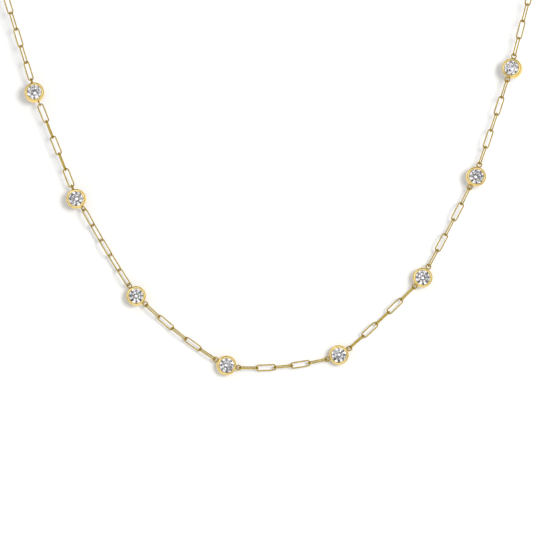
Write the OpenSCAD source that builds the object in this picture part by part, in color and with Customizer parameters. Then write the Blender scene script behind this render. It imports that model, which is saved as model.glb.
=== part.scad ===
// Station necklace: a paperclip chain with eight round bezel-set stones.
// The loop hangs in the XZ plane. The stones face -Y. The origin is the underside of the clasp,
// where the necklace rests on the back of the neck. Lengths are in millimetres, angles in degrees.

/* [Chain] */
// Distance from one stone to the next along the chain
station_pitch = 25.4; // [25:0.1:26]
// Links between two neighbouring stones
links_per_gap = 5; // [5:2:7]
// Links on the left between the first stone and the clasp
left_links = 35; // [33:2:39]
// Links on the right between the last stone and the clasp
right_links = 34; // [32:2:38]
// Thickness of the links' wire
wire_d = 0.28; // [0.24:0.01:0.32]
// Outer width of a link
link_w = 1.54; // [1.5:0.01:1.7]
// Radius of the wire's centreline at a link's corners
link_corner = 0.55; // [0.5:0.01:0.6]
// Play left at each joint of the chain
play = 0.1; // [0.1:0.01:0.14]

/* [Setting] */
// Outer diameter of the bezel cup
bezel_d = 4.36; // [4.3:0.01:4.5]
// Height of the bezel cup from back to rim
bezel_h = 2.05; // [2.05:0.05:2.3]
// Opening inside the rolled rim
rim_d = 3.16; // [3.1:0.01:3.2]
// Radius of the rim's outer edge
rim_round = 0.34; // [0.25:0.01:0.4]
// Width of the slope at the cup's back edge
back_edge = 0.3; // [0.1:0.05:0.4]
// How far the girdle lies below the rim
rim_cover = 0.45; // [0.4:0.01:0.46]
// Bore of the open back
bore_d = 3.1; // [3:0.05:3.2]
// Outer diameter of an eyelet
eyelet_d = 1.3; // [1.25:0.01:1.35]
// Distance from the middle of the cup to the middle of an eyelet
eyelet_reach = 2.73; // [2.7:0.01:2.75]

/* [Stone] */
// Diameter of a stone
stone_d = 3.4; // [3.35:0.01:3.42]
// Width of the table as a share of the diameter
table_share = 0.57; // [0.53:0.01:0.62]
// Height of the crown as a share of the diameter
crown_share = 0.15; // [0.13:0.01:0.16]
// Depth of the pavilion as a share of the diameter
pavilion_share = 0.43; // [0.4:0.01:0.44]
// Thickness of the girdle
girdle_t = 0.1; // [0.05:0.01:0.12]
// Gap between the stone and the metal
stone_gap = 0.1; // [0.08:0.01:0.1]

/* [Clasp] */
// Length of the clasp's loop
clasp_len = 6.6; // [6:0.1:8]
// Width of the clasp's loop
clasp_w = 3.4; // [3.2:0.1:4]
// Thickness of the clasp's round bar
clasp_bar = 1.0; // [0.9:0.05:1.1]
// Outer diameter of the clasp's tail eye
tail_d = 1.9; // [1.8:0.05:2.1]
// Wire of the tail eye
tail_wire = 0.45; // [0.4:0.01:0.5]
// Outer diameter of the end ring that the clasp holds
end_ring_d = 3.2; // [3:0.1:3.6]
// Wire of the end ring
end_ring_wire = 0.5; // [0.4:0.02:0.55]

/* [Hidden] */
gold = [0.87, 0.7, 0.38];
white_stone = [0.9, 0.92, 0.96];

STONES = 8;

// Columns of the stations table: direction of the chain through the stone from +X, turn of the cup
// about that line, tilt of the cup towards its forward end, how far both eyelets are soldered above
// the line, and the roll of the eyelet before the stone and of the one after it. A roll of 0 faces
// the front, and 90 shows the edge. Neighbours along the chain differ by 60 to 120 degrees.
HEADING = 0;
TURN = 1;
TILT = 2;
RISE = 3;
EYE_BEFORE = 4;
EYE_AFTER = 5;
stations = [
    [-71, -4, -8, 5, 100, 90],
    [-62.5, 2, -3, 8.5, 105, 45],
    [-49, -3, -2, 7, 20, 0],
    [-19.5, -2, 5, 8.5, 0, 0],
    [26, -1, -4, 6, 0, 0],
    [55, -3, 2, 7.5, 0, 0],
    [67, 2, 3, 7.5, 0, 0],
    [74.5, -18, 2, 7.5, 0, 0]
];

// Columns of the spans table: direction of a span's first and last link, and the roll of its odd
// and of its even links.
FIRST = 0;
LAST = 1;
ODD_ROLL = 2;
EVEN_ROLL = 3;
spans = [
    [-68.5, -68.5, 13, 100],
    [-61, -57.5, -45, 45],
    [-43, -33.5, 108, 30],
    [-1, 12, 105, 13],
    [42, 45, 101, 18],
    [61.5, 63.5, 107, 18],
    [71, 72.5, 107, 20]
];

// The plain chain leaves the first and the last stone upwards and leans outwards. Its rolls are
// those of the odd and of the even links at the stone, and the twist from there up to the clasp.
left_lean = 17;
right_lean = 14.5;
left_rolls = [-28, 62, 28];
right_rolls = [113, 28, -28];
TWIST = 2;

// Sizes along the chain. A hook is what a link reaches past the middle of an eyelet.
function hook(ring_d, ring_wire) = (ring_d - ring_wire) / 2 - (ring_wire + play) / 2;
eyelet_hook = hook(eyelet_d, wire_d);
link_pitch = (station_pitch - 2 * (eyelet_reach + eyelet_hook)) / links_per_gap;
link_len = link_pitch + 2 * wire_d + play;
left_len = left_links * link_pitch;
right_len = right_links * link_pitch;

// Sizes along the clasp, from the last link on the left to the end ring's link on the right.
tail_x = hook(tail_d, tail_wire);
loop_x = tail_x + (tail_d - tail_wire) / 2 - 0.1;
loop_end_x = loop_x + clasp_len - clasp_bar / 2;
ring_x = loop_end_x + end_ring_d / 2 - end_ring_wire - clasp_bar / 2 - play;
clasp_span = ring_x + hook(end_ring_d, end_ring_wire);

// Route of the chain, as [x, z] from the first stone.
function dir(a) = [cos(a), sin(a)];
function sum(v, n) = n == 0 ? [0, 0] : v[n - 1] + sum(v, n - 1);
function link_heading(s, j) = s[FIRST] + (s[LAST] - s[FIRST]) * j / (links_per_gap - 1);
function link_steps(s) = [for (j = [0:links_per_gap - 1]) link_pitch * dir(link_heading(s, j))];
function to_eyelet(i) = eyelet_reach * dir(stations[i][HEADING] + stations[i][RISE]);
function from_eyelet(i) = eyelet_reach * dir(stations[i][HEADING] - stations[i][RISE]);
function gap_start(i) = to_eyelet(i) + eyelet_hook * dir(spans[i][FIRST]);
function gap_end(i) = eyelet_hook * dir(spans[i][LAST]) + from_eyelet(i + 1);
function gap(i) = gap_start(i) + sum(link_steps(spans[i]), links_per_gap) + gap_end(i);
function station_at(i) = i == 0 ? [0, 0] : station_at(i - 1) + gap(i - 1);

// The two sides run straight, then each turns on one arc until both are level at the clasp. Four
// conditions, both lengths and the meeting of the two ends, give the two radii and straight runs.
left_up = 90 + left_lean;
right_up = 90 + right_lean;
left_start = -from_eyelet(0) + eyelet_hook * dir(left_up);
right_start = station_at(STONES - 1) + to_eyelet(STONES - 1) + eyelet_hook * dir(180 - right_up);
function rad(a) = a * PI / 180;
function arc_x(a) = sin(a) - rad(a) * cos(a);
function arc_z(a) = 1 - cos(a) - rad(a) * sin(a);
across = (right_start - left_start)[0] - clasp_span - left_len * cos(left_up) - right_len * cos(right_up);
upward = (right_start - left_start)[1] + right_len * sin(right_up) - left_len * sin(left_up);
arc_det = arc_x(left_up) * arc_z(right_up) + arc_x(right_up) * arc_z(left_up);
left_r = (across * arc_z(right_up) + upward * arc_x(right_up)) / arc_det;
right_r = (across * arc_z(left_up) - upward * arc_x(left_up)) / arc_det;

// A side, as its start, its direction upwards, its radius, its length, and 1 for left or -1 for right.
START = 0;
UP = 1;
RADIUS = 2;
LENGTH = 3;
HAND = 4;
left_side = [left_start, left_up, left_r, left_len, 1];
right_side = [right_start, right_up, right_r, right_len, -1];
function straight(side) = side[LENGTH] - side[RADIUS] * rad(side[UP]);
function side_run(side, s) = let (
        up = side[UP],
        on_line = min(s, straight(side)),
        now = up - (s - on_line) / side[RADIUS] * 180 / PI,
        run = on_line * dir(up) + side[RADIUS] * [sin(up) - sin(now), cos(now) - cos(up)]
    ) side[START] + [side[HAND] * run[0], run[1]];

clasp_at = side_run(left_side, left_len);
origin_at = clasp_at + [clasp_span / 2, -clasp_w / 2];
function station_place(i) = station_at(i) - origin_at;

// A link is its middle, its direction and its roll.
MIDDLE = 0;
ALONG = 1;
ROLL = 2;
function link_between(p, q, roll) = [(p + q) / 2 - origin_at, atan2((q - p)[1], (q - p)[0]), roll];
function span_links(i) = let (s = spans[i], start = station_at(i) + gap_start(i), v = link_steps(s)) [
    for (j = [0:links_per_gap - 1])
        link_between(start + sum(v, j), start + sum(v, j + 1), s[j % 2 == 0 ? ODD_ROLL : EVEN_ROLL])
];
function side_chain(side, links, rolls) = [
    for (j = [0:links - 1])
        link_between(
            side_run(side, j * link_pitch),
            side_run(side, (j + 1) * link_pitch),
            rolls[j % 2] + rolls[TWIST] * j / (links - 1)
        )
];
end_ring = [clasp_at + [ring_x, 0] - origin_at, 0, 90];

// A wire loop's centreline, as the place of each bend and the direction that it faces.
function paperclip(length, width, corner) = [
    for (c = [0:3])
        for (k = [0:2])
            let (a = 90 * c + 45 * k)
                let (sx = c == 0 || c == 3 ? 1 : -1, sy = c < 2 ? 1 : -1)
                    concat([sx * (length / 2 - corner), sy * (width / 2 - corner)] + corner * dir(a), a)
];
function round_loop(r) = [for (k = [0:11]) concat(r * dir(30 * k), 30 * k)];
link_line = paperclip(link_len - wire_d, link_w - wire_d, link_corner);
ring_line = round_loop((end_ring_d - end_ring_wire) / 2);

// Each bend carries a section of the wire with five corners.
SIDES = 5;
function loop_points(link, line, wire) = let (
        a = [cos(link[ALONG]), 0, sin(link[ALONG])],
        n = [-sin(link[ALONG]), 0, cos(link[ALONG])],
        w = cos(link[ROLL]) * n - sin(link[ROLL]) * [0, 1, 0],
        t = cross(a, w),
        middle = [link[MIDDLE][0], 0, link[MIDDLE][1]]
    ) [
        for (bend = line)
            for (k = [0:SIDES - 1])
                let (
                    out = wire / 2 * cos(360 * k / SIDES),
                    up = wire / 2 * sin(360 * k / SIDES)
                ) middle + (bend[0] + out * cos(bend[2])) * a + (bend[1] + out * sin(bend[2])) * w + up * t
    ];
function loop_faces(first, bends) = [
    for (i = [0:bends - 1])
        for (k = [0:SIDES - 1])
            let (
                i2 = (i + 1) % bends,
                k2 = (k + 1) % SIDES,
                p = first + i * SIDES + k,
                q = first + i2 * SIDES + k,
                p2 = first + i * SIDES + k2,
                q2 = first + i2 * SIDES + k2
            )
                for (f = [[p, p2, q2], [p, q2, q]]) f
];

// A length of chain is one polyhedron of many closed loops. The rings are loops of their own.
module chain(links, rings) {
    bends = len(link_line);
    link_points = [for (l = links) for (p = loop_points(l, link_line, wire_d)) p];
    ring_points = [for (l = rings) for (p = loop_points(l, ring_line, end_ring_wire)) p];
    loops = len(links) + len(rings);
    polyhedron(
        points = concat(link_points, ring_points),
        faces = [for (l = [0:loops - 1]) for (f = loop_faces(l * bends * SIDES, bends)) f]
    );
}

// Heights in the cup, from its middle towards the rim.
girdle_z = bezel_h / 2 - rim_cover;
crown_h = crown_share * stone_d;
pavilion_h = pavilion_share * stone_d;
stone_r = stone_d / 2;
table_r = table_share * stone_r;
seat_r = stone_r + stone_gap;
crown_slope = crown_h / (stone_r - table_r);
pavilion_slope = pavilion_h / stone_r;

// Heights of the metal that follows the crown and the pavilion at the gap's distance.
function above_crown(r) = girdle_z + (stone_r - r) * crown_slope + stone_gap * sqrt(1 + pow(crown_slope, 2));
function below_pavilion(r) = girdle_z - girdle_t - (stone_r - r) * pavilion_slope
    - stone_gap * sqrt(1 + pow(pavilion_slope, 2));
function bow(middle, rx, ry, from, to) = [
    for (k = [0:5])
        let (a = from + (to - from) * k / 5) middle + [rx * cos(a), ry * sin(a)]
];

module cup() {
    outer_r = bezel_d / 2;
    rim_r = rim_d / 2;
    top_z = bezel_h / 2;
    edge_r = outer_r - rim_round;
    lip_z = above_crown(rim_r);
    rotate_extrude($fn = 64)
        polygon(concat(
            [[outer_r - back_edge, -top_z], [outer_r, back_edge - top_z]],
            bow([edge_r, top_z - rim_round], rim_round, rim_round, 0, 90),
            bow([edge_r, lip_z], edge_r - rim_r, top_z - lip_z, 108, 180),
            [
                [seat_r, above_crown(seat_r)],
                [seat_r, below_pavilion(seat_r)],
                [bore_d / 2, below_pavilion(bore_d / 2)],
                [bore_d / 2, -top_z]
            ]
        ));
}

module ring(d, wire) {
    rotate_extrude($fn = 48)
        translate([(d - wire) / 2, 0])
            circle(d = wire, $fn = 24);
}

module eyelet(direction, roll) {
    rotate([0, 0, direction])
        translate([eyelet_reach, 0, 0])
            rotate([roll, 0, 0])
                ring(eyelet_d, wire_d);
}

// Puts a piece that faces +Z at a station, facing the front.
module at_station(i) {
    place = station_place(i);
    translate([place[0], 0, place[1]])
        rotate([90, 0, 0])
            children();
}

// Turns a piece about the line of the chain through the stone, and tilts it along that line.
module turned(i) {
    heading = stations[i][HEADING];
    rotate(a = stations[i][TURN], v = [cos(heading), sin(heading), 0])
        rotate(a = stations[i][TILT], v = [-sin(heading), cos(heading), 0])
            children();
}

module setting(i) {
    s = stations[i];
    color(gold)
        at_station(i) {
            turned(i)
                cup();
            eyelet(s[HEADING] - s[RISE] + 180, -s[EYE_BEFORE]);
            eyelet(s[HEADING] + s[RISE], s[EYE_AFTER]);
        }
}

// A round brilliant. The star points and the pavilion points lie where the kites stay flat.
module brilliant() {
    half = 22.5;
    star_r = (stone_r + table_r * cos(half)) / 2;
    star_z = crown_slope * (stone_r - star_r * cos(half));
    low_r = 0.22 * stone_r;
    low_z = -girdle_t - pavilion_slope * (stone_r - low_r * cos(half));
    function ring_of(n, r, z, start) = [for (k = [0:n - 1]) concat(r * dir(start + 360 * k / n), z)];
    table = 0;
    star = 8;
    top = 16;
    bottom = 32;
    low = 48;
    culet = 56;
    polyhedron(
        points = concat(
            ring_of(8, table_r, crown_h, 0),
            ring_of(8, star_r, star_z, half),
            ring_of(16, stone_r, 0, 0),
            ring_of(16, stone_r, -girdle_t, 0),
            ring_of(8, low_r, low_z, half),
            [[0, 0, -girdle_t - pavilion_h]]
        ),
        faces = concat(
            [[for (k = [7:-1:0]) table + k]],
            [for (k = [0:7]) [table + k, table + (k + 1) % 8, star + k]],
            [for (k = [0:7]) [table + k, star + k, top + 2 * k, star + (k + 7) % 8]],
            [for (k = [0:7]) [star + k, top + 2 * k + 1, top + 2 * k]],
            [for (k = [0:7]) [star + k, top + (2 * k + 2) % 16, top + 2 * k + 1]],
            [for (k = [0:15]) [top + k, top + (k + 1) % 16, bottom + (k + 1) % 16, bottom + k]],
            [for (k = [0:7]) [low + k, bottom + 2 * k, bottom + 2 * k + 1]],
            [for (k = [0:7]) [low + k, bottom + 2 * k + 1, bottom + (2 * k + 2) % 16]],
            [for (k = [0:7]) [culet, low + (k + 7) % 8, bottom + 2 * k, low + k]]
        )
    );
}

module stone(i) {
    color(white_stone)
        at_station(i)
            turned(i)
                translate([0, 0, girdle_z])
                    brilliant();
}

module chain_left() {
    color(gold)
        chain(concat(side_chain(left_side, left_links, left_rolls), [for (i = [0:3]) each span_links(i)]), []);
}

module chain_right() {
    color(gold)
        chain(concat([for (i = [4:6]) each span_links(i)], side_chain(right_side, right_links, right_rolls)), [end_ring]);
}

// A closed loop of round bar with a tail eye. It lies level, with its underside at the origin.
module clasp() {
    bend_r = (clasp_w - clasp_bar) / 2;
    bar_len = clasp_len - clasp_w;
    color(gold)
        translate([-clasp_span / 2, 0, clasp_w / 2])
            rotate([90, 0, 0]) {
                translate([tail_x, 0, 0])
                    rotate([90, 0, 0])
                        ring(tail_d, tail_wire);
                translate([loop_x + clasp_w / 2, 0, 0]) {
                    rotate([0, 0, 90])
                        rotate_extrude(angle = 180, $fn = 48)
                            translate([bend_r, 0])
                                circle(d = clasp_bar, $fn = 24);
                    translate([bar_len, 0, 0])
                        rotate([0, 0, -90])
                            rotate_extrude(angle = 180, $fn = 48)
                                translate([bend_r, 0])
                                    circle(d = clasp_bar, $fn = 24);
                    for (side = [-1, 1])
                        translate([0, side * bend_r, 0])
                            rotate([0, 90, 0])
                                cylinder(d = clasp_bar, h = bar_len, $fn = 24);
                }
            }
}

for (i = [1:STONES])
    setting(i - 1);
for (i = [1:STONES])
    stone(i - 1);
chain_left();
chain_right();
clasp();
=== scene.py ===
# %% [markdown]
# # A station necklace of yellow gold
# The real object is a fine paperclip chain with eight round stones, each held in a small gold cup
# called a bezel. It hangs as a closed loop, about 127 mm wide and 169 mm high, and its wire is only
# 0.28 mm thick. The solid model behind this lesson already holds every size. Here each solid gets
# the form and the finish that a jeweller would give it, at the same place and size.

# %% Load the solid model
import math

import bmesh
import bpy
from mathutils import Matrix, Vector


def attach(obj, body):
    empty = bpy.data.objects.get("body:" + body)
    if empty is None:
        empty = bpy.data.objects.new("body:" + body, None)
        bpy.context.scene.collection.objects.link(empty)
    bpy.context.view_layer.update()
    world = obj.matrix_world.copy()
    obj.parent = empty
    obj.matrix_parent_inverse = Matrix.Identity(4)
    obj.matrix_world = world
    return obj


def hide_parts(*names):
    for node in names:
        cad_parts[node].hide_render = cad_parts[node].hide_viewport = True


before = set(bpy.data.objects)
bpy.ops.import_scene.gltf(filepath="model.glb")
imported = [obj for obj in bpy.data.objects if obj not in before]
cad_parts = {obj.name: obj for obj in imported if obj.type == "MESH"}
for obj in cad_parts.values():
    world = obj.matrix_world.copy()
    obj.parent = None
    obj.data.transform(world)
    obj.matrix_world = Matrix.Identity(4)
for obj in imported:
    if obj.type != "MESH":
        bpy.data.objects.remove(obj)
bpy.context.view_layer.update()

MM = 0.001

# %% [markdown]
# ## Where everything lies
# The chain is a route in one upright plane, the XZ plane, and the stones face the camera, towards
# -Y. A real chain settles into its curve by its own weight. A physics simulation could find that
# curve, but the photograph already shows it, so the route is walked link by link from a table: the
# direction of the chain through each stone, and the directions between two stones.

# %% Sizes of the chain, in millimetres
STATION_PITCH = 25.4
LINKS_PER_GAP = 5
LEFT_SPANS = 4  # how many of the spans between stones hang on the left half of the chain
LEFT_LINKS = 35
RIGHT_LINKS = 34
WIRE = 0.28
LINK_WIDTH = 1.54
LINK_CORNER = 0.55
PLAY = 0.1
EYELET = 1.3
EYELET_REACH = 2.73
CLASP_LENGTH = 6.6
CLASP_WIDTH = 3.4
CLASP_BAR = 1.0
TAIL_EYE = 1.9
TAIL_WIRE = 0.45
TAIL_SUNK = 0.1  # how deep the tail eye is cast into the clasp's loop
END_RING = 3.2
END_WIRE = 0.5


def hook(ring, wire):
    """How far a link reaches past the middle of the ring that it hangs in."""
    return (ring - wire) / 2 - (wire + PLAY) / 2


EYELET_HOOK = hook(EYELET, WIRE)
LINK_PITCH = (STATION_PITCH - 2 * (EYELET_REACH + EYELET_HOOK)) / LINKS_PER_GAP
LINK_LENGTH = LINK_PITCH + 2 * WIRE + PLAY
print("one link is", round(LINK_LENGTH, 2), "mm long and takes", round(LINK_PITCH, 2), "mm of the chain")

# %% [markdown]
# ## The tables of the route
# Each stone has the direction of the chain through it, the turn of its cup about that line and its
# tilt along it, how far its two eyelets are soldered above the line, and their rolls. Each span of
# five links has the direction of its first and last link, and the roll of its odd and even links. A
# roll of 0 shows a link's full width to the camera and 90 shows only its edge, which is how
# neighbouring links of a chain alternate. No two are quite alike, because a chain never hangs evenly.

# %% The tables
STATIONS = [  # heading, turn, tilt, rise of the eyelets, roll of the eyelet before and after
    (-71, -4, -8, 5, 100, 90),
    (-62.5, 2, -3, 8.5, 105, 45),
    (-49, -3, -2, 7, 20, 0),
    (-19.5, -2, 5, 8.5, 0, 0),
    (26, -1, -4, 6, 0, 0),
    (55, -3, 2, 7.5, 0, 0),
    (67, 2, 3, 7.5, 0, 0),
    (74.5, -18, 2, 7.5, 0, 0),
]
SPANS = [  # first heading, last heading, roll of odd links, roll of even links
    (-68.5, -68.5, 13, 100),
    (-61, -57.5, -45, 45),
    (-43, -33.5, 108, 30),
    (-1, 12, 105, 13),
    (42, 45, 101, 18),
    (61.5, 63.5, 107, 18),
    (71, 72.5, 107, 20),
]
LEFT_UP = 90 + 17
RIGHT_UP = 90 + 14.5
LEFT_ROLLS = (-28, 62, 28)  # roll of odd links, of even links, and the twist up to the clasp
RIGHT_ROLLS = (113, 28, -28)


def along(degrees):
    """The unit step in the plane of the necklace, as (x, z)."""
    return Vector((math.cos(math.radians(degrees)), math.sin(math.radians(degrees))))


def span_steps(span):
    """The five steps of a span, one for each link."""
    first, last = span[:2]
    return [LINK_PITCH * along(first + (last - first) * j / (LINKS_PER_GAP - 1))
            for j in range(LINKS_PER_GAP)]


print("stones:", len(STATIONS), "and spans between them:", len(SPANS))

# %% [markdown]
# ## Walking the front of the necklace
# The walk starts at the first stone. It steps from the stone to its eyelet, through the five links
# of the span, and on to the next stone. Every link is kept as its middle, its direction and its
# roll, which is all that is needed to place it.

# %% Walk the stones and the spans
stones_at = [Vector((0, 0))]
front_links = []


def to_eyelet(i):
    """The step from the middle of a stone to its eyelet on the right."""
    return EYELET_REACH * along(STATIONS[i][0] + STATIONS[i][3])


def from_eyelet(i):
    """The step from a stone's left eyelet to its middle."""
    return EYELET_REACH * along(STATIONS[i][0] - STATIONS[i][3])


def keep_link(links, start, end, roll):
    """Adds the link that lies between two points of the route."""
    step = end - start
    links.append(((start + end) / 2, math.degrees(math.atan2(step.y, step.x)), roll))


for i, span in enumerate(SPANS):
    at = stones_at[i] + to_eyelet(i) + EYELET_HOOK * along(span[0])
    links = []
    for j, step in enumerate(span_steps(span)):
        keep_link(links, at, at + step, span[2 + j % 2])
        at = at + step
    front_links.append(links)
    at = at + EYELET_HOOK * along(span[1])
    stones_at.append(at + from_eyelet(i + 1))
print("the first and last stone are", round((stones_at[-1] - stones_at[0]).length, 1), "mm apart")

# %% [markdown]
# ## The two sides up to the clasp
# Each side of the loop runs straight and then turns on one arc until it is level at the clasp. The
# number of links on each side is fixed, so both radii follow from two conditions: the two ends have
# to meet across the clasp, and at the same height. That is a pair of linear equations.

# %% Solve the two arcs
tail_x = hook(TAIL_EYE, TAIL_WIRE)
loop_x = tail_x + (TAIL_EYE - TAIL_WIRE) / 2 - TAIL_SUNK
ring_x = loop_x + CLASP_LENGTH - CLASP_BAR + END_RING / 2 - END_WIRE - PLAY
clasp_span = ring_x + hook(END_RING, END_WIRE)

left_start = -from_eyelet(0) + EYELET_HOOK * along(LEFT_UP)
right_start = stones_at[-1] + to_eyelet(7) + EYELET_HOOK * along(180 - RIGHT_UP)
left_length = LEFT_LINKS * LINK_PITCH
right_length = RIGHT_LINKS * LINK_PITCH


def arc_run(turn):
    """What an arc of radius 1 that turns by this much gains over a straight line, as (x, z)."""
    a = math.radians(turn)
    return Vector((math.sin(a) - a * math.cos(a), 1 - math.cos(a) - a * math.sin(a)))


gap = right_start - left_start
across = gap.x - clasp_span - left_length * along(LEFT_UP).x - right_length * along(RIGHT_UP).x
upward = gap.y + right_length * along(RIGHT_UP).y - left_length * along(LEFT_UP).y
left_arc, right_arc = arc_run(LEFT_UP), arc_run(RIGHT_UP)
det = left_arc.x * right_arc.y + right_arc.x * left_arc.y
left_radius = (across * right_arc.y + upward * right_arc.x) / det
right_radius = (across * left_arc.y - upward * left_arc.x) / det
print("the sides turn on radii of", round(left_radius, 1), "and", round(right_radius, 1), "mm")

# %% Walk both sides


def side_point(start, up, radius, length, hand, s):
    """The point after s millimetres of a side. hand is 1 on the left and -1 on the right."""
    on_line = min(s, length - radius * math.radians(up))
    now = up - math.degrees((s - on_line) / radius)
    turn = Vector((math.sin(math.radians(up)) - math.sin(math.radians(now)), along(now).x - along(up).x))
    run = on_line * along(up) + radius * turn
    return start + Vector((hand * run.x, run.y))


def side_links(start, up, radius, count, hand, rolls):
    """All links of one side, from the stone up to the clasp."""
    links = []
    length = count * LINK_PITCH
    points = [side_point(start, up, radius, length, hand, j * LINK_PITCH) for j in range(count + 1)]
    for j in range(count):
        keep_link(links, points[j], points[j + 1], rolls[j % 2] + rolls[2] * j / (count - 1))
    return links, points[-1]


left_side, clasp_at = side_links(left_start, LEFT_UP, left_radius, LEFT_LINKS, 1, LEFT_ROLLS)
right_side, _ = side_links(right_start, RIGHT_UP, right_radius, RIGHT_LINKS, -1, RIGHT_ROLLS)
origin = clasp_at + Vector((clasp_span / 2, -CLASP_WIDTH / 2))
print("the route holds", sum(map(len, front_links)) + len(left_side) + len(right_side), "links")

# %% [markdown]
# ## From a place on the route to a place in space
# Every link and ring is made once, flat in the XZ plane with its length along X. A matrix then
# carries a copy to its place: a roll about its own length, a turn in the plane of the necklace, and
# a move. Objects stay at the origin and their place goes into the mesh, so that patterns on Object
# coordinates run on from one link to the next.

# %% Place matrices


def place(middle, heading, roll):
    """The matrix that puts a flat piece at a point of the route, in metres."""
    at = (middle - origin) * MM
    turn = Matrix.Rotation(-math.radians(heading), 4, "Y") @ Matrix.Rotation(math.radians(roll), 4, "X")
    return Matrix.Translation((at.x, 0, at.y)) @ turn


def cup_place(i):
    """The matrix of a cup: its axis, made along Z, faces the front, turned about the chain and tilted."""
    at = (stones_at[i] - origin) * MM
    heading, turn, tilt = STATIONS[i][:3]
    line = Vector((math.cos(math.radians(heading)), 0, math.sin(math.radians(heading))))
    across = Vector((-line.z, 0, line.x))
    facing = Matrix.Rotation(math.radians(turn), 4, line) @ Matrix.Rotation(math.radians(tilt), 4, across)
    return Matrix.Translation((at.x, 0, at.y)) @ facing @ Matrix.Rotation(math.radians(90), 4, "X")


print("the first stone is at", [round(v / MM, 3) for v in cup_place(0).translation], "mm")

# %% [markdown]
# ## Small helpers for meshes
# A bmesh is Blender's mesh in the making. Operators such as spin and extrude work on it, and at the
# end it is written to an object. One helper writes it, rides the object on the necklace's body and
# hides the solids that it stands for. The other copies a finished mesh into a bmesh.

# %% Mesh helpers
SAME_POINT = 0.0005  # points closer than this are one, in millimetres


def finish_piece(bm, name, replaced, material):
    """Writes the bmesh to a new smooth object that stands for these solids."""
    bmesh.ops.remove_doubles(bm, verts=bm.verts, dist=SAME_POINT * MM)
    bmesh.ops.recalc_face_normals(bm, faces=bm.faces)
    mesh = bpy.data.meshes.new(name)
    bm.to_mesh(mesh)
    bm.free()
    mesh.shade_smooth()
    mesh.materials.append(material)
    piece = bpy.data.objects.new(name, mesh)
    bpy.context.scene.collection.objects.link(piece)
    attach(piece, "root")
    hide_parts(*replaced)
    return piece


def add_copy(bm, mesh, matrix):
    """Copies a mesh into the bmesh at that place, and returns the copy's vertices."""
    before = len(bm.verts)
    bm.from_mesh(mesh)
    bm.verts.ensure_lookup_table()
    new = bm.verts[before:]
    bmesh.ops.transform(bm, matrix=matrix, verts=new)
    return new


# %% [markdown]
# ## Helpers for materials
# Colours are written as the sRGB hex values that a picture shows, and one function turns them to the
# linear values that the renderer works with. One small function adds a node, sets its options and
# connects its inputs.

# %% Material helpers
MIX_FACTOR, MIX_A, MIX_B, MIX_RESULT = 0, 6, 7, 2  # sockets of a Mix node that mixes colours


def linear(colour):
    """An sRGB hex colour as linear red, green, blue and alpha."""
    parts = [int(colour[k:k + 2], 16) / 255 for k in (1, 3, 5)]
    return [c / 12.92 if c <= 0.04045 else ((c + 0.055) / 1.055) ** 2.4 for c in parts] + [1.0]


def add_node(tree, kind, inputs, **options):
    """Adds a node. inputs maps a socket's name or number to a value or to another node's output."""
    node = tree.nodes.new(kind)
    for option, value in options.items():
        setattr(node, option, value)
    for socket, value in inputs.items():
        if isinstance(value, bpy.types.NodeSocket):
            tree.links.new(value, node.inputs[socket])
        else:
            node.inputs[socket].default_value = value
    return node


def new_material(name):
    """An empty node material, as (material, tree, the output node)."""
    material = bpy.data.materials.new(name)
    material.use_nodes = True
    tree = material.node_tree
    tree.nodes.clear()
    return material, tree, tree.nodes.new("ShaderNodeOutputMaterial")


print("a mid grey, #808080, is", round(linear("#808080")[0], 3), "in linear light")

# %% [markdown]
# ## Yellow gold
# The metal is 14 carat yellow gold: gold alloyed with silver and copper, cast or drawn, and polished
# on a felt wheel. Polish gives the eye soft, bright bands with deep amber between them. No polished
# surface is a perfect mirror, so three things are varied by noise: the tone of the alloy, the
# roughness that the wheel leaves, and a very low waviness that breaks the reflections up. A metal's
# colour is its reflection at right angles, and its edge tint is set a little warmer.

# %% Polished gold
POLISH_HAZE = 0.22  # size of the haze that the wheel leaves, in millimetres
OPEN_DEEP = 0.5  # the largest share of the deeper tone on open metal
HOOK_SHADE = 0.6  # what the hooked end of a link adds to that share: painted shade between the hooked loops, and grime
EDGE_TINT = "#FFE9C4"


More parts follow.
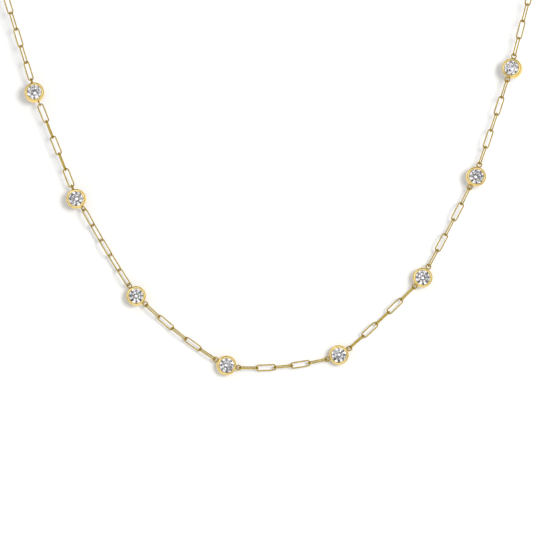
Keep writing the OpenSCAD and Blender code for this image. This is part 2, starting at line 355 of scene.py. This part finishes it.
def polished_gold(name, light, deep, wave_mm, wave_height_mm, roughness, shaded_hooks):
    """Polished yellow gold. Its waviness is wave_mm long and wave_height_mm high."""
    material, tree, out = new_material(name)
    where = add_node(tree, "ShaderNodeTexCoord", {}).outputs["Object"]
    wave = add_node(tree, "ShaderNodeTexNoise", {
        "Vector": where, "Scale": 1 / (wave_mm * MM), "Detail": 2.0})
    haze = add_node(tree, "ShaderNodeTexNoise", {
        "Vector": where, "Scale": 1 / (POLISH_HAZE * MM), "Detail": 4.0})
    deep_share = add_node(tree, "ShaderNodeMapRange", {
        "Value": wave.outputs["Fac"], "From Min": 0.35, "From Max": 0.65,
        "To Min": 0.0, "To Max": OPEN_DEEP})
    share = deep_share.outputs["Result"]
    if shaded_hooks:
        # The hooked ends of the links are painted darker: painted shade between the loops, and grime.
        hooked = add_node(tree, "ShaderNodeAttribute", {}, attribute_name="hook")
        share = add_node(tree, "ShaderNodeMath", {0: hooked.outputs["Fac"], 1: HOOK_SHADE, 2: share},
                         operation="MULTIPLY_ADD", use_clamp=True).outputs[0]
    tone = add_node(tree, "ShaderNodeMix", {MIX_FACTOR: share, MIX_A: linear(light), MIX_B: linear(deep)},
                    data_type="RGBA")
    polish = add_node(tree, "ShaderNodeMapRange", {
        "Value": haze.outputs["Fac"], "From Min": 0.3, "From Max": 0.7,
        "To Min": roughness[0], "To Max": roughness[1]})
    bump = add_node(tree, "ShaderNodeBump", {
        "Height": wave.outputs["Fac"], "Strength": 1.0, "Distance": wave_height_mm * MM})
    shader = add_node(tree, "ShaderNodeBsdfPrincipled", {
        "Base Color": tone.outputs[MIX_RESULT], "Metallic": 1.0, "Roughness": polish.outputs["Result"],
        "Specular Tint": linear(EDGE_TINT), "Normal": bump.outputs["Normal"]})
    tree.links.new(shader.outputs["BSDF"], out.inputs["Surface"])
    return material


bezel_gold = polished_gold("polished_14k_gold", "#F2DB93", "#DABA6C", 0.9, 0.003, (0.2, 0.3), False)
# The wire is the same alloy as the bezels, set darker and more olive: painted shade, for the shading that
# thin, hooked wire takes.
shaded_wire_gold = polished_gold("polished_14k_gold_wire_painted_darker", "#DDC254", "#A2862F", 0.7, 0.0015, (0.28, 0.38), True)
clasp_gold = polished_gold("polished_14k_gold_casting", "#F2D88C", "#D6B062", 1.2, 0.012, (0.2, 0.32), False)
print("gold finishes:", bezel_gold.name, shaded_wire_gold.name, clasp_gold.name)

# %% [markdown]
# ## A closed loop of wire
# A paperclip link is a length of drawn wire bent round a former and soldered shut. It could be a
# bevelled curve, but a sweep with bmesh shows how the bend is made: one ring of wire is extruded
# along a straight and spun round a corner, four times, and the ends are merged. A round ring is the
# same loop with no straights. An attribute marks the ends, where loops hook into each other; the gold
# is painted darker there, as painted shade between the loops and as grime.

# %% The wire loop
HOOK_SHADE_REACH = 3  # how far the painted shade and grime of a hooked end reach, in widths of the wire
HOOK_SHADE_FULL = 1.15  # more than 1, so that the very end is darkened all over


def wire_loop(name, length, width, corner, wire, bend_steps, around):
    """One closed loop of round wire in the XZ plane, as a mesh. Sizes are its outline's, in millimetres."""
    bm = bmesh.new()
    half = Vector(((length - wire) / 2 - corner, (width - wire) / 2 - corner)) * MM
    low_left = Matrix.Translation((-half.x, 0, -half.y - corner * MM))
    start = low_left @ Matrix.Rotation(math.radians(90), 4, "Y")
    bmesh.ops.create_circle(bm, segments=around, radius=wire / 2 * MM, matrix=start)
    ring = bm.edges[:]
    corners = [(half.x, -half.y), (half.x, half.y), (-half.x, half.y), (-half.x, -half.y)]
    straights = [Vector((2 * half.x, 0, 0)), Vector((0, 0, 2 * half.y)),
                 Vector((-2 * half.x, 0, 0)), Vector((0, 0, -2 * half.y))]
    for (x, z), straight in zip(corners, straights):
        if straight.length > 0.01 * MM:
            made = bmesh.ops.extrude_edge_only(bm, edges=ring)["geom"]
            ring = [e for e in made if isinstance(e, bmesh.types.BMEdge)]
            moved = [v for v in made if isinstance(v, bmesh.types.BMVert)]
            bmesh.ops.translate(bm, verts=moved, vec=straight)
        verts = list({v for e in ring for v in e.verts})
        turned = bmesh.ops.spin(bm, geom=verts + ring, cent=(x, 0, z), axis=(0, -1, 0), dvec=(0, 0, 0),
                                angle=math.radians(90), steps=bend_steps, use_merge=False)
        ring = [e for e in turned["geom_last"] if isinstance(e, bmesh.types.BMEdge)]
    bmesh.ops.remove_doubles(bm, verts=bm.verts, dist=wire * MM / 100)
    bmesh.ops.recalc_face_normals(bm, faces=bm.faces)
    hook_layer = bm.verts.layers.float.new("hook")
    for v in bm.verts:
        from_end = length / 2 - abs(v.co.x) / MM
        v[hook_layer] = min(1.0, max(0.0, HOOK_SHADE_FULL - from_end / (HOOK_SHADE_REACH * wire)))
    mesh = bpy.data.meshes.new(name)
    bm.to_mesh(mesh)
    bm.free()
    return mesh


link_mesh = wire_loop("link", LINK_LENGTH, LINK_WIDTH, LINK_CORNER, WIRE, 5, 10)
eyelet_mesh = wire_loop("eyelet", EYELET, EYELET, (EYELET - WIRE) / 2, WIRE, 8, 12)
end_ring_mesh = wire_loop("end_ring", END_RING, END_RING, (END_RING - END_WIRE) / 2, END_WIRE, 8, 12)
print("a link has", len(link_mesh.polygons), "faces, an eyelet", len(eyelet_mesh.polygons))

# %% [markdown]
# ## The chain
# Each half of the chain becomes one object of many closed links, which stands for the same half of
# the solid model. The right half also holds the round end ring that the clasp closes on.

# %% Make both halves of the chain


def make_chain(name, node, links, rings):
    """Makes one object of links and rings, each given as its middle, heading and roll."""
    bm = bmesh.new()
    for middle, heading, roll in links:
        add_copy(bm, link_mesh, place(middle, heading, roll))
    for middle, heading, roll in rings:
        add_copy(bm, end_ring_mesh, place(middle, heading, roll))
    print(name, "has", len(links) + len(rings), "loops and", len(bm.faces), "faces")
    finish_piece(bm, name, [node], shaded_wire_gold)


end_ring_place = (clasp_at + Vector((ring_x, 0)), 0, 90)
left_links = left_side + sum(front_links[:LEFT_SPANS], [])
right_links = sum(front_links[LEFT_SPANS:], []) + right_side
make_chain("paperclip_chain_left", "chain_left", left_links, [])
make_chain("paperclip_chain_right", "chain_right", right_links, [end_ring_place])

# %% [markdown]
# ## The bezels
# A bezel is a short tube of gold. The stone drops onto a seat inside it, and the rim is then rubbed
# over the stone's edge with a burnisher, which leaves a soft, rolled edge that slopes down to the
# stone. Its section is drawn once as a line of a few corners. Bevelling the corner vertices rounds
# the outer edge, a short loop bows the lip, and one full spin turns the section into the cup.

# %% Sizes of a bezel and its stone
BEZEL = 4.36
BEZEL_HEIGHT = 2.05
RIM_OPENING = 3.16
RIM_ROUND = 0.34
BACK_EDGE = 0.3
BACK_ROUND, EDGE_ROUND = 0.05, 0.08  # rounding of the back's corners and of its sloping edge
RIM_COVER = 0.45
BORE = 3.1
STONE = 3.4
CROWN, PAVILION, TABLE = 0.15, 0.43, 0.57  # parts of the stone's width
CROWN_SLOPE = CROWN * 2 / (1 - TABLE)
PAVILION_SLOPE = PAVILION * 2
GIRDLE = 0.1
STONE_GAP = 0.1
girdle_z = BEZEL_HEIGHT / 2 - RIM_COVER


def over_crown(r):
    """Height of the metal that follows the stone's crown at the gap's distance."""
    return girdle_z + (STONE / 2 - r) * CROWN_SLOPE + STONE_GAP * math.hypot(1, CROWN_SLOPE)


def under_pavilion(r):
    """Height of the seat that follows the stone's pavilion at the gap's distance."""
    return girdle_z - GIRDLE - (STONE / 2 - r) * PAVILION_SLOPE - STONE_GAP * math.hypot(1, PAVILION_SLOPE)


print("the rim stands", round(BEZEL_HEIGHT / 2 - over_crown(RIM_OPENING / 2), 2), "mm over its own inner lip")

# %% The bezel's section, spun into a cup
LIP_STEPS = 8
ROUND_STEPS = 7
CUP_STEPS = 96


def cup_mesh():
    """The cup about the Z axis, with its rim at +Z."""
    bm = bmesh.new()
    outer, top, rim, seat = BEZEL / 2, BEZEL_HEIGHT / 2, RIM_OPENING / 2, STONE / 2 + STONE_GAP
    ridge, lip = outer - RIM_ROUND, over_crown(rim)
    section = [  # radius, height, rounding
        (outer - BACK_EDGE, -top, BACK_ROUND),
        (outer, BACK_EDGE - top, EDGE_ROUND),
        (outer, top, RIM_ROUND),
    ]
    for k in range(1, LIP_STEPS + 1):
        bow = math.radians(90 + 90 * k / LIP_STEPS)
        section.append((ridge + (ridge - rim) * math.cos(bow), lip + (top - lip) * math.sin(bow), 0.0))
    section += [
        (seat, over_crown(seat), 0.0),
        (seat, under_pavilion(seat), 0.0),
        (BORE / 2, under_pavilion(BORE / 2), 0.0),
        (BORE / 2, -top, BACK_ROUND),
    ]
    corners = [bm.verts.new((r * MM, 0, z * MM)) for r, z, _ in section]
    for k, corner in enumerate(corners):
        bm.edges.new((corner, corners[(k + 1) % len(corners)]))
    for corner, (_, _, rounding) in zip(corners, section):
        if rounding:
            bmesh.ops.bevel(bm, geom=[corner], offset=rounding * MM, offset_type="OFFSET",
                            segments=ROUND_STEPS, profile=0.5, affect="VERTICES", material=-1)
    bmesh.ops.spin(bm, geom=bm.verts[:] + bm.edges[:], cent=(0, 0, 0), axis=(0, 0, 1), dvec=(0, 0, 0),
                   angle=math.radians(360), steps=CUP_STEPS, use_merge=True)
    bmesh.ops.recalc_face_normals(bm, faces=bm.faces)
    mesh = bpy.data.meshes.new("cup")
    bm.to_mesh(mesh)
    bm.free()
    return mesh


bezel_cup = cup_mesh()
print("a cup has", len(bezel_cup.polygons), "faces")

# %% [markdown]
# ## Solder
# The jeweller holds each eyelet against the cup and lets a small bead of solder run round the
# touching point. The bead is what keeps the joint from looking like two shapes pushed together. It
# is a sphere, squeezed along the cup's axis, whose middle lies just inside the cup's wall.

# %% A bead of solder
SOLDER = 0.4
SOLDER_STRETCH = (1.25, 0.85, 1.0)  # along the eyelet, along the cup's axis, and across both
SOLDER_SUNK = 0.03  # how far inside the cup's wall the middle of a bead lies


def solder_mesh():
    """A bead of solder about its own middle, with its longer axis along X."""
    bm = bmesh.new()
    bmesh.ops.create_uvsphere(bm, u_segments=16, v_segments=10, radius=SOLDER / 2 * MM)
    bmesh.ops.scale(bm, vec=SOLDER_STRETCH, verts=bm.verts)
    mesh = bpy.data.meshes.new("solder")
    bm.to_mesh(mesh)
    bm.free()
    return mesh


solder = solder_mesh()
print("a bead of solder has", len(solder.polygons), "faces")

# %% Put the eight settings together


def make_setting(i):
    """A cup with two eyelets of the chain's own wire and the beads of solder that hold them."""
    heading, _, _, rise, before, after = STATIONS[i]
    bm = bmesh.new()
    add_copy(bm, bezel_cup, cup_place(i))
    for direction, roll in ((heading - rise + 180, -before), (heading + rise, after)):
        eyelet_at = stones_at[i] + EYELET_REACH * along(direction)
        eyelet = add_copy(bm, eyelet_mesh, place(eyelet_at, direction, roll))
        for face in {f for v in eyelet for f in v.link_faces}:
            face.material_index = 1
        bead_at = stones_at[i] + (BEZEL / 2 - SOLDER_SUNK) * along(direction)
        add_copy(bm, solder, place(bead_at, direction, roll))
    setting = finish_piece(bm, f"bezel_setting_{i + 1}", [f"setting_{i + 1}"], bezel_gold)
    setting.data.materials.append(shaded_wire_gold)
    return setting


settings = [make_setting(i) for i in range(len(STATIONS))]
print("settings:", len(settings))

# %% [markdown]
# ## The stones
# The stones are round brilliants, and the solid model already has all 57 facets, so its nodes stay
# and only get their finish. A cut stone is perfectly clear and polished. What the eye sees in it is
# the studio, folded by its facets, which takes a high index of refraction. The plain mirror image on
# its flat top is held back by a grey specular tint, as a photographer does with a dark card.

# %% Clear cut stone
STONE_CLOUD = 1.5  # size of the faint changes in tint, in millimetres
stone_material, tree, out = new_material("polished_colourless_stone")
where = add_node(tree, "ShaderNodeTexCoord", {}).outputs["Object"]
clouds = add_node(tree, "ShaderNodeTexNoise", {
    "Vector": where, "Scale": 1 / (STONE_CLOUD * MM), "Detail": 1.0})
tint = add_node(tree, "ShaderNodeMix", {
    MIX_FACTOR: clouds.outputs["Fac"], MIX_A: linear("#FBFCFF"), MIX_B: linear("#EEF0FC")},
    data_type="RGBA")
shader = add_node(tree, "ShaderNodeBsdfPrincipled", {
    "Base Color": tint.outputs[MIX_RESULT], "Roughness": 0.0, "IOR": 2.42, "Transmission Weight": 1.0,
    "Specular Tint": linear("#A0A0A6")})
tree.links.new(shader.outputs["BSDF"], out.inputs["Surface"])
for i in range(len(STATIONS)):
    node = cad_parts[f"stone_{i + 1}"]
    node.data.materials.clear()
    node.data.materials.append(stone_material)
print("stones:", len(STATIONS), "with", len(node.data.polygons), "facets in triangles")

# %% [markdown]
# ## The clasp
# The photograph ends below the clasp, so it is a plain one: a closed loop of cast bar with a small
# eye at its tail, lying level at the back of the neck. The upper bar is its gate. Two fine grooves
# show where the gate meets the body, and the ends of a pin show where it turns. A groove is made by
# cutting the mesh with three planes and drawing the middle cut in.

# %% Cut a groove round the gate
GROOVE_HALF_WIDTH = 0.07
GROOVE_DEPTH = 0.08
UPPER_BAR_FROM = 0.3  # faces above this height belong to the upper bar
bar_z = (CLASP_WIDTH - CLASP_BAR) / 2


def cut_groove(bm, x):
    """Draws in the upper bar at x, in millimetres."""
    for cut in (x - GROOVE_HALF_WIDTH, x, x + GROOVE_HALF_WIDTH):
        upper = [f for f in bm.faces if f.calc_center_median().z > UPPER_BAR_FROM * MM]
        geom = upper + list({e for f in upper for e in f.edges}) + list({v for f in upper for v in f.verts})
        bmesh.ops.bisect_plane(bm, geom=geom, dist=1e-8, plane_co=(cut * MM, 0, 0), plane_no=(1, 0, 0))
    middle = Vector((x * MM, 0, bar_z * MM))
    for v in bm.verts:
        if abs(v.co.x - middle.x) < 1e-7 and v.co.z > 0:
            v.co += (middle - v.co).normalized() * GROOVE_DEPTH * MM


print("the middle of the upper bar lies", round(bar_z, 2), "mm above the clasp's own")

# %% Make the clasp
GROOVES_AT = (-1.5, 1.35)
PIN_AT = -1.05
PIN = 0.38
PIN_PROUD = 0.05  # how much longer the pin is than the bar is thick
bar_loop = wire_loop("bar", CLASP_LENGTH, CLASP_WIDTH, (CLASP_WIDTH - CLASP_BAR) / 2, CLASP_BAR, 12, 24)
tail_loop = wire_loop("tail", TAIL_EYE, TAIL_EYE, (TAIL_EYE - TAIL_WIRE) / 2, TAIL_WIRE, 8, 16)
bm = bmesh.new()
bm.from_mesh(bar_loop)
for x in GROOVES_AT:
    cut_groove(bm, x)
pin = Matrix.Translation((PIN_AT * MM, 0, bar_z * MM)) @ Matrix.Rotation(math.radians(90), 4, "X")
bmesh.ops.create_cone(bm, cap_ends=True, segments=24, radius1=PIN / 2 * MM, radius2=PIN / 2 * MM,
                      depth=(CLASP_BAR + PIN_PROUD) * MM, matrix=pin)
bm.to_mesh(bar_loop)
bm.free()
bm = bmesh.new()
bar_at = clasp_at + Vector((loop_x + CLASP_LENGTH / 2 - CLASP_BAR / 2, 0))
add_copy(bm, bar_loop, place(bar_at, 0, 0))
add_copy(bm, tail_loop, place(clasp_at + Vector((tail_x, 0)), 0, 90))
clasp = finish_piece(bm, "lobster_clasp", ["clasp"], clasp_gold)
print("the clasp has", len(clasp.data.polygons), "faces")

# %% [markdown]
# ## The studio
# The necklace hangs close in front of a sheet of white paper, which stands on a pale floor. The sheet
# leans a little, so that it is nearer to the chain at the bottom, where the shadows are short. Seen
# from behind, the sheet is clear, so that the back of the necklace can be looked at too. The gold
# doesn't mirror the sheet either, or the backs of the bezels would only show their own shadow.

# %% The paper and the floor
WALL_LOW, WALL_HIGH = (-165, 1.25), (-102.6, 3.2)  # height and distance behind the chain
LEAN = (WALL_HIGH[1] - WALL_LOW[1]) / (WALL_HIGH[0] - WALL_LOW[0])
FLOOR, SHEET_TOP = -270, 120
SHEET_HALF_WIDTH, SHEET_FRONT = 600, 900
FOLD = 40
FIBRES = 3


def wall_y(z):
    """Distance of the sheet behind the chain's plane at that height."""
    return WALL_LOW[1] + (z - WALL_LOW[0]) * LEAN


paper, tree, out = new_material("white_paper")
where = add_node(tree, "ShaderNodeTexCoord", {}).outputs["Object"]
fibres = add_node(tree, "ShaderNodeTexNoise", {
    "Vector": where, "Scale": 1 / (FIBRES * MM), "Detail": 3.0})
white = add_node(tree, "ShaderNodeMix", {
    MIX_FACTOR: fibres.outputs["Fac"], MIX_A: linear("#F6F6F6"), MIX_B: linear("#F9F9F9")},
    data_type="RGBA")
matt = add_node(tree, "ShaderNodeBsdfDiffuse", {"Color": white.outputs[MIX_RESULT]})
clear = add_node(tree, "ShaderNodeBsdfTransparent", {})
side = add_node(tree, "ShaderNodeNewGeometry", {})
ray = add_node(tree, "ShaderNodeLightPath", {})
unseen = add_node(tree, "ShaderNodeMath", {
    0: side.outputs["Backfacing"], 1: ray.outputs["Is Glossy Ray"]}, operation="MAXIMUM")
both = add_node(tree, "ShaderNodeMixShader", {
    0: unseen.outputs[0], 1: matt.outputs[0], 2: clear.outputs[0]})
tree.links.new(both.outputs[0], out.inputs["Surface"])
print("the sheet is", round(wall_y(WALL_LOW[0]), 2), "mm behind the lowest stones")

# %% Fold the sheet
bm = bmesh.new()
front = bm.verts.new((-SHEET_HALF_WIDTH * MM, -SHEET_FRONT * MM, FLOOR * MM))
fold = bm.verts.new((-SHEET_HALF_WIDTH * MM, wall_y(FLOOR) * MM, FLOOR * MM))
top = bm.verts.new((-SHEET_HALF_WIDTH * MM, wall_y(SHEET_TOP) * MM, SHEET_TOP * MM))
bm.edges.new((front, fold))
bm.edges.new((fold, top))
bmesh.ops.bevel(bm, geom=[fold], offset=FOLD * MM, offset_type="OFFSET", segments=12, profile=0.5,
                affect="VERTICES", material=-1)
made = bmesh.ops.extrude_edge_only(bm, edges=bm.edges[:])["geom"]
moved = [v for v in made if isinstance(v, bmesh.types.BMVert)]
bmesh.ops.translate(bm, verts=moved, vec=(2 * SHEET_HALF_WIDTH * MM, 0, 0))
mesh = bpy.data.meshes.new("studio_paper")
bm.to_mesh(mesh)
bm.free()
mesh.shade_smooth()
mesh.materials.append(paper)
studio = bpy.data.objects.new("studio_paper", mesh)
bpy.context.scene.collection.objects.link(studio)
if mesh.polygons[-1].normal.y > 0:
    mesh.flip_normals()
print("the sheet faces", [round(v, 2) for v in mesh.polygons[-1].normal])

# %% [markdown]
# ## Light
# Polished gold and cut stone have hardly a colour of their own. What the eye sees in them is the
# room, folded by every bend and facet. A photographer therefore puts small jewellery in a white tent
# with brighter and darker places in it, which metal and stone mirror as highlights and deep tones. A
# tent could be built from planes and lamps. A world shader makes the same light with less noise, as a
# sum of soft round patches, each given by its direction.

# %% A direction seen from the necklace
world = bpy.data.worlds.new("white_tent")
bpy.context.scene.world = world
world.use_nodes = True
tree = world.node_tree
tree.nodes.clear()
out = tree.nodes.new("ShaderNodeOutputWorld")
direction = add_node(tree, "ShaderNodeTexCoord", {}).outputs["Generated"]


def from_lens(away, clock):
    """The direction this far from the lens, at this angle round it, both in degrees."""
    a, b = math.radians(away), math.radians(clock)
    return Vector((math.sin(a) * math.cos(b), -math.cos(a), math.sin(a) * math.sin(b)))


print("90 degrees from the lens, at clock 90, is straight up:", [round(v) for v in from_lens(90, 90)])

# %% [markdown]
# ## Patches for the stones
# A brilliant throws each patch of the tent to one or two facets. The middle looks about 45 degrees
# away from the lens, the eight arrows round it look 5 to 20 degrees away, and the edge of the crown
# looks 30 to 45 degrees away. A wide dark patch round the lens gives the grey arrows, and the bright
# ones further out give the white middle and the bright ring.

# %% The stones' tent
STONE_TENT = 0.9
STONE_PATCHES = [  # away from the lens, clock angle from the right, inner and outer radius, strength
    (0, 0, 31, 38, -0.78),
    (25, 48, 6, 11, 0.5),
    (25, 139, 4, 9, 0.85),
    (18, 122, 3, 8, 0.3),
    (25, 203, 6, 11, -0.12),
    (25, 331, 6, 11, 0.4),
    (16, 0, 3, 8, 0.5),
    (16, 180, 3, 8, 0.6),
    (16, 30, 3, 8, -0.15),
    (16, 225, 3, 8, -0.15),
    (37, 77, 4, 10, 1.3),
    (37, 180, 4, 10, 1.5),
    (37, 309, 5, 11, 1.0),
    (37, 118, 4, 9, 0.9),
    (37, 232, 5, 11, 0.7),
    (37, 0, 5, 11, 0.6),
    (8, 330, 3, 7, -0.15),
    (8, 210, 3, 7, -0.15),
    (46, 10, 6, 12, 0.2),
    (46, 216, 7, 13, 0.4),
    (46, 306, 8, 15, 0.3),
    (46, 100, 6, 12, 0.4),
    (59, 0, 8, 15, 1.5),
    (59, 129, 8, 15, 1.9),
    (75, 30, 12, 25, 2.0),
    (75, 300, 12, 25, 0.5),
]
print("patches for the stones:", len(STONE_PATCHES))

# %% [markdown]
# ## Patches for the gold
# The rubbed-over rim of a bezel turns through every angle in half a millimetre, so it mirrors the
# whole tent. A bright patch up on the left draws the pale line on the ridge, a light floor warms the
# rim's upper inside, and a dark patch above gives the deep tone on the outer edge and low inside. The
# last patch is the bright half behind the necklace, which takes the place of the paper.

# %% The gold's tent
GOLD_TENT = 0.43
GOLD_PATCHES = [  # the same five columns
    (0, 0, 32, 44, 0.45),
    (22, 138, 4, 16, 2.1),
    (24, 225, 5, 15, 0.5),
    (24, 40, 5, 15, 0.75),
    (50, 272, 16, 34, 0.6),
    (76, 105, 20, 42, -0.4),
    (62, 180, 12, 26, -0.15),
    (180, 0, 78, 94, 0.85),
]
print("patches for the gold:", len(GOLD_PATCHES))

# %% [markdown]
# ## One world for three kinds of ray
# Jewellery pictures are often joined from one exposure lit for the metal and one lit for the stones.
# The world does this with the Light Path node. A ray that has passed through a facet sees the stones'
# tent, a mirrored ray sees the gold's tent, and paper receives an even light. The camera itself sees
# pure white.

# %% Build the world
ON_PAPER = 0.67
LEAST_LIGHT = 0.02


def tent_light(level, patches):
    """The light of a tent in each direction: an even level and its patches."""
    for away, clock, inner, outer, gain in patches:
        facing = add_node(tree, "ShaderNodeVectorMath", {0: direction, 1: from_lens(away, clock)},
                          operation="DOT_PRODUCT")
        patch = add_node(tree, "ShaderNodeMapRange", {
            "Value": facing.outputs["Value"], "From Min": math.cos(math.radians(outer)),
            "From Max": math.cos(math.radians(inner)), "To Min": 0.0, "To Max": gain},
            interpolation_type="SMOOTHSTEP")
        level = add_node(tree, "ShaderNodeMath", {0: level, 1: patch.outputs["Result"]}).outputs[0]
    return add_node(tree, "ShaderNodeMath", {0: level, 1: LEAST_LIGHT}, operation="MAXIMUM").outputs[0]


ray = add_node(tree, "ShaderNodeLightPath", {})
mirrored = add_node(tree, "ShaderNodeMix", {
    0: ray.outputs["Is Transmission Ray"], 2: tent_light(GOLD_TENT, GOLD_PATCHES),
    3: tent_light(STONE_TENT, STONE_PATCHES)}, data_type="FLOAT")
strength = add_node(tree, "ShaderNodeMix", {
    0: ray.outputs["Is Diffuse Ray"], 2: mirrored.outputs[0], 3: ON_PAPER}, data_type="FLOAT")
seen = add_node(tree, "ShaderNodeMath", {
    0: ray.outputs["Is Camera Ray"], 1: strength.outputs[0]}, operation="MAXIMUM")
tent = add_node(tree, "ShaderNodeBackground", {"Color": (1.0, 1.0, 1.0, 1.0), "Strength": seen.outputs[0]})
tree.links.new(tent.outputs[0], out.inputs["Surface"])
print("the world has", len(tree.nodes), "nodes")

# %% [markdown]
# ## The key lamp
# One round soft lamp stands in front, to the right and a little above, and throws the shadows to the
# left. Its width sets how soft they are. It lights the paper only: its own image in the gold and the
# stones is left out, because the tents already hold their highlights.

# %% The key lamp
LAMP_AWAY = 0.9
LAMP_WIDTH = 0.32
LAMP_WATTS = 4.27
LIT_MIDDLE = Vector((3.5, 0, -142)) * MM
lamp_data = bpy.data.lights.new("key_lamp", "AREA")
lamp_data.shape = "DISK"
lamp_data.size = LAMP_WIDTH
lamp_data.energy = LAMP_WATTS
lamp = bpy.data.objects.new("key_lamp", lamp_data)
lamp.visible_glossy = False
lamp.visible_transmission = False
to_lamp = Vector((0.42, -1.0, 0.17)).normalized()
lamp.location = LIT_MIDDLE + to_lamp * LAMP_AWAY
lamp.rotation_mode = "QUATERNION"
lamp.rotation_quaternion = to_lamp.to_track_quat("Z", "Y")
bpy.context.scene.collection.objects.link(lamp)
print("the lamp is at", [round(v, 2) for v in lamp.location], "m")

# %% [markdown]
# ## The camera
# The photograph looks straight at the necklace through a long lens, and cuts the loop off at its
# top. Its 540 pixels span 120.1 mm in the plane of the chain.

# %% Camera
FRAME_WIDTH = 120.11 * MM
VIEW_X, VIEW_Z = 3.39 * MM, -142.03 * MM
camera_data = bpy.data.cameras.new("camera")
camera_data.lens = 200
camera_data.clip_start = 0.01
camera = bpy.data.objects.new("camera", camera_data)
distance = FRAME_WIDTH / camera_data.sensor_width * camera_data.lens
camera.location = (VIEW_X, -distance, VIEW_Z)
camera.rotation_euler = (math.radians(90), 0, 0)
bpy.context.scene.collection.objects.link(camera)
bpy.context.scene.camera = camera
bpy.context.scene.view_settings.view_transform = "Standard"
bpy.context.scene.cycles.max_bounces = 16
bpy.context.scene.cycles.glossy_bounces = 12
bpy.context.scene.cycles.transmission_bounces = 16
print("camera", round(distance, 3), "m in front of the chain")
